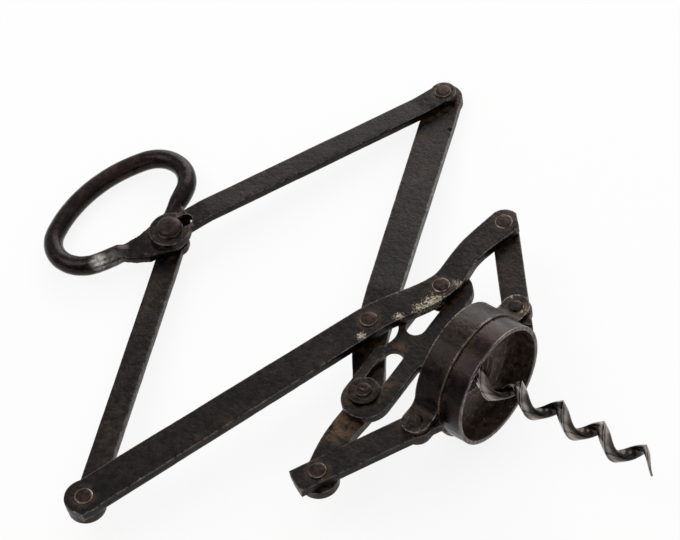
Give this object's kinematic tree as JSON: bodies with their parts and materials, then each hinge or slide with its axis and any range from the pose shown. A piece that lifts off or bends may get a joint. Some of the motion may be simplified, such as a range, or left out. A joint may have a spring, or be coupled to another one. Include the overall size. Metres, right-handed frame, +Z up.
{
  "type": "lever corkscrew",
  "caption": "Folding lazy-tongs corkscrew of riveted flat iron levers, with a ring handle, a sliding worm and a bell that sits on the bottle neck.",
  "frame": {"origin": "bottom centre of the overall box, on the ground that the tool lies on", "axes": "+X towards the worm's point, +Z up, +Y to the left seen along the worm; the tool's own plane leans 6.78 degrees, worm end up"},
  "size_m": [0.2249, 0.2112, 0.0433],
  "materials": {
    "lever_iron": "hand-forged flat iron, dark brown patina, light on worn edges",
    "plate_iron": "filed plate, dark brown with rust at its edges",
    "handle_iron": "round bar bent by hand, brown patina worn bright in the grip",
    "bell_iron": "turned iron, dark patina, rim worn bright",
    "strap_iron": "bent sheet strap, dark brown",
    "worm_steel": "blued and ground wire, glossy dark brown",
    "rivet_iron": "closed rivet, reddish brown with a bright ring"
  },
  "bodies": {
    "worm_frame": {"fork_plate": "plate_iron", "worm": "worm_steel", "shank_pin": "rivet_iron"},
    "crossing": {"cross_rivet": "rivet_iron", "cross_bush": "plate_iron"},
    "front_lever": {"front_lever": "lever_iron", "front_stud": "rivet_iron", "front_washer": "plate_iron", "left_elbow_rivet": "rivet_iron", "right_tip_rivet": "rivet_iron"},
    "rear_lever": {"rear_lever": "lever_iron", "rear_stud": "rivet_iron", "rear_washer": "plate_iron", "right_elbow_rivet": "rivet_iron", "left_tip_rivet": "rivet_iron"},
    "rear_upper_link": {"rear_upper_link": "lever_iron"},
    "front_upper_link": {"front_upper_link": "lever_iron"},
    "handle_rivet": {"handle_rivet": "rivet_iron"},
    "handle": {"handle": "handle_iron"},
    "right_short_link": {"right_short_link": "lever_iron"},
    "left_short_link": {"left_short_link": "lever_iron"},
    "bell": {"bell": "bell_iron", "upper_strap": "strap_iron", "lower_strap": "strap_iron", "right_ear_rivet": "rivet_iron", "left_ear_rivet": "rivet_iron"}
  },
  "joints": [
    {"name": "fold", "type": "hinge", "parent": "crossing", "child": "front_lever", "pos_m": [0.00778, -0.00047, 0.01729], "axis": [0.118, 0, -0.993], "range_deg": [-4, 32]},
    {"name": "cross_slide", "type": "slide", "parent": "worm_frame", "child": "crossing", "axis": [-0.993, 0, -0.118], "range_m": [-0.0013, 0.0098]},
    {"name": "rear_lever_fold", "type": "hinge", "parent": "crossing", "child": "rear_lever", "pos_m": [0.00778, -0.00047, 0.01729], "axis": [-0.118, 0, 0.993], "range_deg": [-4, 32]},
    {"name": "left_elbow", "type": "hinge", "parent": "front_lever", "child": "rear_upper_link", "pos_m": [-0.03184, -0.09922, 0.01258], "axis": [-0.118, 0, 0.993], "range_deg": [-8.1, 64.1]},
    {"name": "right_elbow", "type": "hinge", "parent": "rear_lever", "child": "front_upper_link", "pos_m": [-0.02867, 0.09922, 0.00651], "axis": [0.118, 0, -0.993], "range_deg": [-7.9, 62.7]},
    {"name": "handle_rivet_turn", "type": "hinge", "parent": "rear_upper_link", "child": "handle_rivet", "pos_m": [-0.07146, -0.00047, 0.00788], "axis": [0.118, 0, -0.993], "range_deg": [-4, 32]},
    {"name": "handle_swivel", "type": "hinge", "parent": "handle_rivet", "child": "handle", "pos_m": [-0.07146, -0.00047, 0.00788], "axis": [-0.118, 0, 0.993], "range_deg": [-5, 30]},
    {"name": "right_tip", "type": "hinge", "parent": "front_lever", "child": "right_short_link", "pos_m": [0.02443, 0.05369, 0.01927], "axis": [-0.118, 0, 0.993], "range_deg": [-8.7, 68.8]},
    {"name": "left_tip", "type": "hinge", "parent": "rear_lever", "child": "left_short_link", "pos_m": [0.02443, -0.05464, 0.01927], "axis": [0.118, 0, -0.993], "range_deg": [-8.6, 67.8]},
    {"name": "bell_slide", "type": "slide", "parent": "worm_frame", "child": "bell", "axis": [0.993, 0, 0.118], "range_m": [-0.0039, 0.0305]}
  ],
  "couplings": [
    {"joint": "cross_slide", "follows": "fold", "m_per_rad": 0.0174},
    {"joint": "rear_lever_fold", "follows": "fold", "ratio": 1},
    {"joint": "left_elbow", "follows": "fold", "ratio": 2},
    {"joint": "right_elbow", "follows": "fold", "ratio": 1.957},
    {"joint": "handle_rivet_turn", "follows": "fold", "ratio": 1},
    {"joint": "right_tip", "follows": "fold", "ratio": 2.147},
    {"joint": "left_tip", "follows": "fold", "ratio": 2.115},
    {"joint": "bell_slide", "follows": "fold", "m_per_rad": 0.05448}
  ]
}
